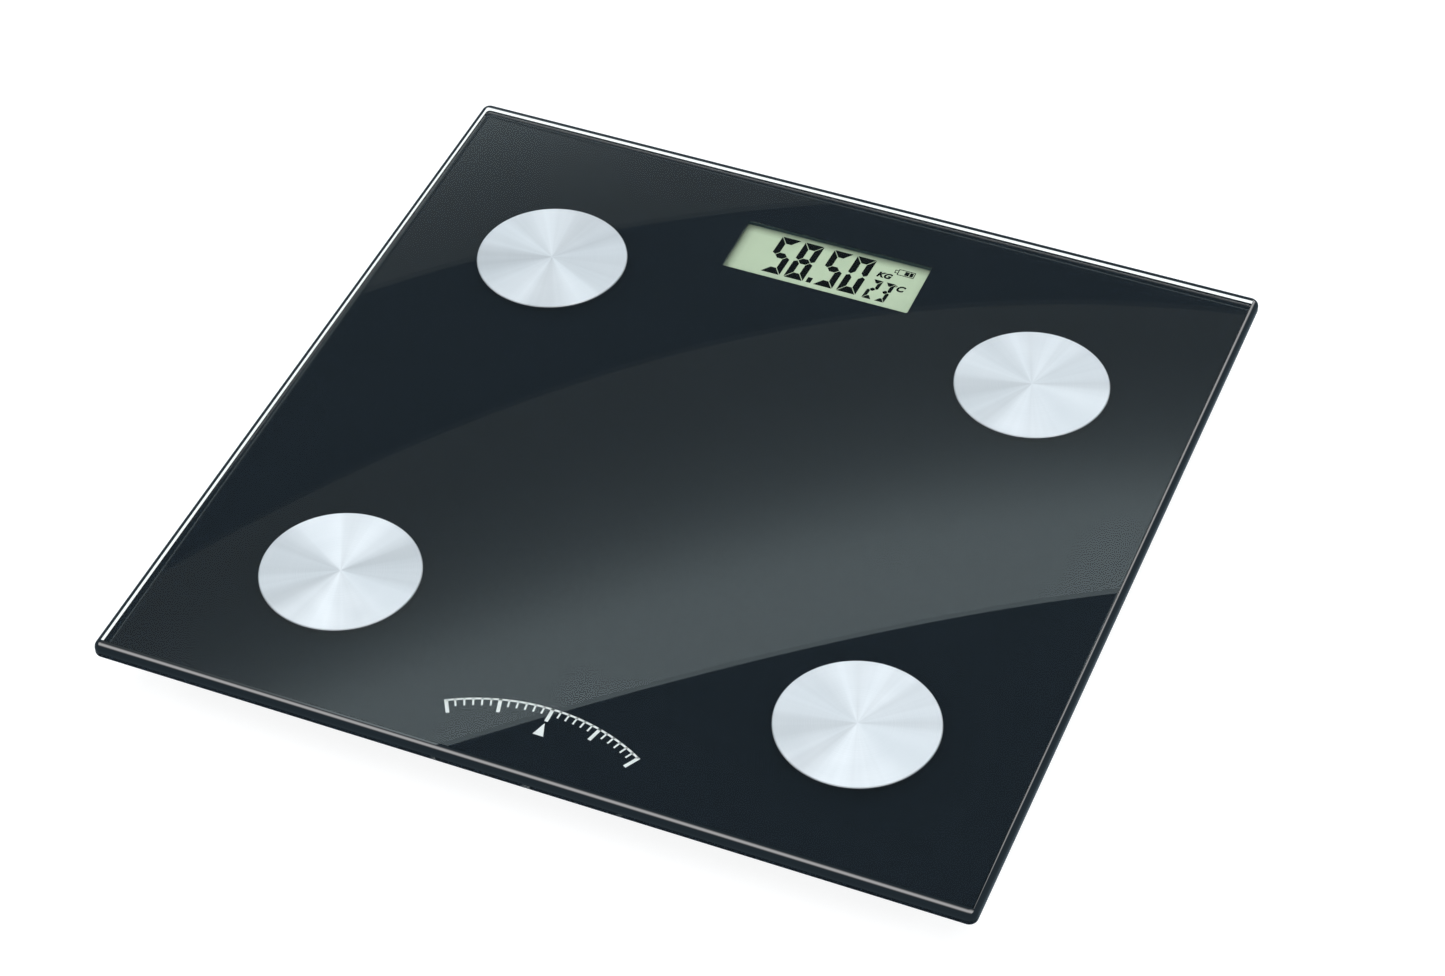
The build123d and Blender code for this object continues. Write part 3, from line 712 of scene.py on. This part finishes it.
# The printed dial: its arc reaches DIAL_SPREAD degrees to each side of its middle.
# A tick is given by its length and half its width.
DIAL_RADIUS = 62.0 * MM
DIAL_LINE = 0.7 * MM
DIAL_CENTRE = Vector((-2.0 * MM, -172.0 * MM))
DIAL_SPREAD = 30.0
DIAL_STEPS = 48
DIAL_TICKS = 24
TICKS_PER_MAJOR = 6
MAJOR_TICK = (5.4 * MM, 0.55 * MM)
MINOR_TICK = (3.0 * MM, 0.28 * MM)
POINTER_TIP = DIAL_CENTRE + Vector((0, DIAL_RADIUS - 6.2 * MM))
POINTER_HALF_W = 1.7 * MM
POINTER_LENGTH = 5.0 * MM


def dial_tick(angle, length, half):
    """Outline of a tick that points inwards from the dial's arc."""
    along = Vector((cos(angle), sin(angle)))
    across = Vector((-along.y, along.x)) * half
    inner = DIAL_CENTRE + along * (DIAL_RADIUS - length)
    outer = DIAL_CENTRE + along * DIAL_RADIUS
    return [tuple(corner) for corner in (inner - across, outer - across, outer + across, inner + across)]


def printed_dial():
    """Generic mark under the front edge of the glass: a wide dial arc with ticks and a pointer."""
    first, last = 90 - DIAL_SPREAD, 90 + DIAL_SPREAD
    outlines = ring_outlines(DIAL_CENTRE, DIAL_RADIUS, DIAL_RADIUS - DIAL_LINE, DIAL_STEPS, first, last)
    for i in range(DIAL_TICKS + 1):
        length, half = MAJOR_TICK if i % TICKS_PER_MAJOR == 0 else MINOR_TICK
        outlines.append(dial_tick(radians(first + (last - first) * i / DIAL_TICKS), length, half))
    base = POINTER_TIP - Vector((0, POINTER_LENGTH))
    left, right = base.x - POINTER_HALF_W, base.x + POINTER_HALF_W
    outlines.append([(left, base.y), (right, base.y), tuple(POINTER_TIP)])
    low = FILM_HIGH.z + INK_T
    verts, faces = prisms(outlines, low, low + INK_T)
    platform_piece("printed_dial", new_mesh("printed_dial", verts, faces, white_print()))


# ---------------------------------------------------------------- stage

# The camera's place and aim from the middle of the glass's top, its roll in degrees and its lens in mm
CAMERA_FROM_PLATE = Vector((0.3278, -0.7641, 0.7997))
CAMERA_AIM = Vector((0.0100, -0.0081, 0.0))
CAMERA_ROLL = -0.74
CAMERA_LENS = 91.78


def make_camera():
    plate = Vector((0, 0, GLASS_TOP))
    place = plate + CAMERA_FROM_PLATE
    turn = (plate + CAMERA_AIM - place).to_track_quat("-Z", "Y").to_matrix().to_4x4()
    data = bpy.data.cameras.new("camera")
    data.lens = CAMERA_LENS
    data.sensor_width = 36
    data.clip_start = 0.01
    data.clip_end = 50
    camera = linked_object("camera", data)
    camera.matrix_world = Matrix.Translation(place) @ turn @ Matrix.Rotation(radians(CAMERA_ROLL), 4, "Z")
    bpy.context.scene.camera = camera


def stage_mesh(name, verts, faces, material):
    piece = linked_object(name, new_mesh(name, verts, faces, material))
    return piece


def make_floor():
    tree = Tree("pale_floor")
    soft = tree.noise(0.15, 2.0)
    tree.set(
        Base_Color=tree.tint(soft, (0.245, 0.25, 0.25), (0.255, 0.26, 0.26)),
        Roughness=tree.spread(soft, 0.75, 0.85),
        Specular_IOR_Level=0.1,
        Emission_Color=(1, 1, 1, 1),
        Emission_Strength=0.86,
    )
    # It is clear from below, so that views of the underside show the scale
    tree.clear_where(tree.add("NewGeometry").outputs["Backfacing"])
    half = 6.0
    verts = [(-half, -half, 0), (half, -half, 0), (half, half, 0), (-half, half, 0)]
    floor = stage_mesh("floor", verts, [(0, 1, 2, 3)], tree.material)
    floor.visible_glossy = False


def area_lamp(name, place, size, power):
    """A white softbox that faces the scale and isn't mirrored in it."""
    data = bpy.data.lights.new(name, "AREA")
    data.shape = "RECTANGLE"
    data.size, data.size_y = size
    data.energy = power
    lamp = linked_object(name, data)
    lamp.location = place
    lamp.rotation_mode = "QUATERNION"
    lamp.rotation_quaternion = (-Vector(place)).to_track_quat("-Z", "Y")
    lamp.visible_glossy = False
    lamp.visible_transmission = False


def make_world():
    world = bpy.data.worlds.new("studio")
    world.use_nodes = True
    background = world.node_tree.nodes["Background"]
    background.inputs["Color"].default_value = (0.64, 0.85, 1.0, 1)
    background.inputs["Strength"].default_value = 0.26
    bpy.context.scene.world = world


# The curved light tents whose edges the glass mirrors. Each edge is a quadratic curve on the
# glass, where its image shows, and the card hangs where a mirror of the camera sees it.
CARD_DISTANCE = 1.7
CARD_STEPS_ALONG = 40
CARD_STEPS_ACROSS = 24
TENT_COLOUR = (0.82, 0.96, 1.0)
STRIP_COLOUR = (1.0, 1.0, 1.0)

# How deep under the glass's top the film's mirror image seems to lie
MIRROR_DEPTH = 2.6 * MM


def card_point(x, y):
    """Where the camera's ray that enters the glass at (x, y) and is mirrored meets the cards' plane."""
    drop = Vector((0, 0, -2 * MIRROR_DEPTH))
    mirrored = Vector((CAMERA_FROM_PLATE.x, CAMERA_FROM_PLATE.y, -CAMERA_FROM_PLATE.z)) + drop
    entry = Vector((x, y, 0))
    onward = (entry - CAMERA_FROM_PLATE) * (MIRROR_DEPTH / CAMERA_FROM_PLATE.z)
    direction = entry + onward - mirrored
    normal = (-mirrored).normalized()
    hit = intersect_line_plane(mirrored, mirrored + direction, normal * CARD_DISTANCE, normal)
    return hit + Vector((0, 0, GLASS_TOP))


def quadratic(a, b, c, t):
    """Point at t on the quadratic curve from a to c with control point b."""
    u = 1 - t
    return tuple(u * u * p + 2 * u * t * q + t * t * r for p, q, r in zip(a, b, c))


def glow(name, stops, colour):
    """Emission that changes across the card, along its V coordinate."""
    tree = Tree(name)
    across = tree.add("SeparateXYZ", Vector=tree.add("UVMap").outputs["UV"]).outputs["Y"]
    brightest = max(strength for _, strength in stops)
    greys = [(position, [strength / brightest] * 3) for position, strength in stops]
    level = tree.maths("MULTIPLY", tree.ramp(across, greys, "B_SPLINE"), brightest)
    emission = tree.add("Emission", Color=(*colour, 1), Strength=level)
    tree.put(tree.output.inputs["Surface"], emission.outputs["Emission"])
    return tree.material


def card(name, rows, stops, colour):
    """An emissive card over rows of points, seen only in mirror reflections."""
    count = len(rows[0])
    verts = [point for row in rows for point in row]
    faces = []
    for i in range(len(rows) - 1):
        for j in range(count - 1):
            k = i * count + j
            faces.append((k, k + count, k + count + 1, k + 1))
    piece = stage_mesh(name, verts, faces, glow(name, stops, colour))
    layer = piece.data.uv_layers.new(name="UVMap")
    for loop in piece.data.loops:
        layer.data[loop.index].uv = (0.5, (loop.vertex_index % count) / (count - 1))
    piece.visible_camera = False
    piece.visible_diffuse = False
    piece.visible_shadow = False


def tent_card(name, near, far, stops):
    """A card between two curved edges, each given by three points on the glass in mm."""
    rows = []
    for i in range(CARD_STEPS_ALONG + 1):
        a = quadratic(*near, i / CARD_STEPS_ALONG)
        b = quadratic(*far, i / CARD_STEPS_ALONG)
        row = []
        for j in range(CARD_STEPS_ACROSS + 1):
            x = a[0] + (b[0] - a[0]) * j / CARD_STEPS_ACROSS
            y = a[1] + (b[1] - a[1]) * j / CARD_STEPS_ACROSS
            row.append(card_point(x * MM, y * MM))
        rows.append(row)
    card(name, rows, stops, TENT_COLOUR)


def flat_card(name, middle, along, across, stops):
    """A flat card that reaches from its middle by plus and minus along and across."""
    middle, along, across = Vector(middle), Vector(along), Vector(across)
    rows = []
    for side in (-1, 1):
        rows.append([middle + along * side + across * end for end in (-1, 1)])
    card(name, rows, stops, STRIP_COLOUR)


def make_cards():
    sweep_near = ((-78, -193), (87, -16), (200, 24))
    sweep_far = ((-171, -190), (-62, 104), (163, 134))
    tent_card(
        "sweep_card", sweep_near, sweep_far,
        ((0.0, 1.78), (0.24, 1.78), (0.37, 1.14), (0.5, 0.69), (0.64, 0.52), (0.8, 0.40), (1.0, 0.39)),
    )
    corner_near = ((-160, 0), (-90, 100), (30, 150))
    corner_far = ((-190, 150), (-165, 165), (-150, 190))
    tent_card("corner_card", corner_near, corner_far, ((0.0, 0.43), (0.35, 0.6), (0.7, 1.3), (1.0, 2.2)))
    flat_card(
        "overhead_strip", (-0.6, -0.45, 2.4), (2.6, 0, 0), (0, 1.5, 0),
        ((0.0, 0.3), (0.2, 1.0), (0.36, 4.4), (0.66, 4.4), (0.85, 1.5), (1.0, 0.3)),
    )
    flat_card(
        "right_strip", (0.9, 2.6, 2.2), (0, 0, 1.2), (0.85, 0, 0),
        ((0.0, 0.3), (0.25, 3.4), (0.6, 4.0), (1.0, 0.5)),
    )


def make_lamps():
    area_lamp("ceiling", place=(0.0, 0.0, 2.4), size=(3.2, 3.2), power=70)
    area_lamp("left_wall", place=(-2.4, 0.2, 1.2), size=(2.0, 1.6), power=20)
    area_lamp("right_wall", place=(2.4, 0.2, 1.2), size=(2.0, 1.6), power=14)
    area_lamp("front_fill", place=(0.4, -2.4, 1.4), size=(2.4, 1.4), power=26)


bonded_film()
dress_nodes()
lcd_readout()
printed_dial()
make_floor()
make_world()
make_lamps()
make_cards()
make_camera()
bpy.context.scene.view_settings.view_transform = "Standard"
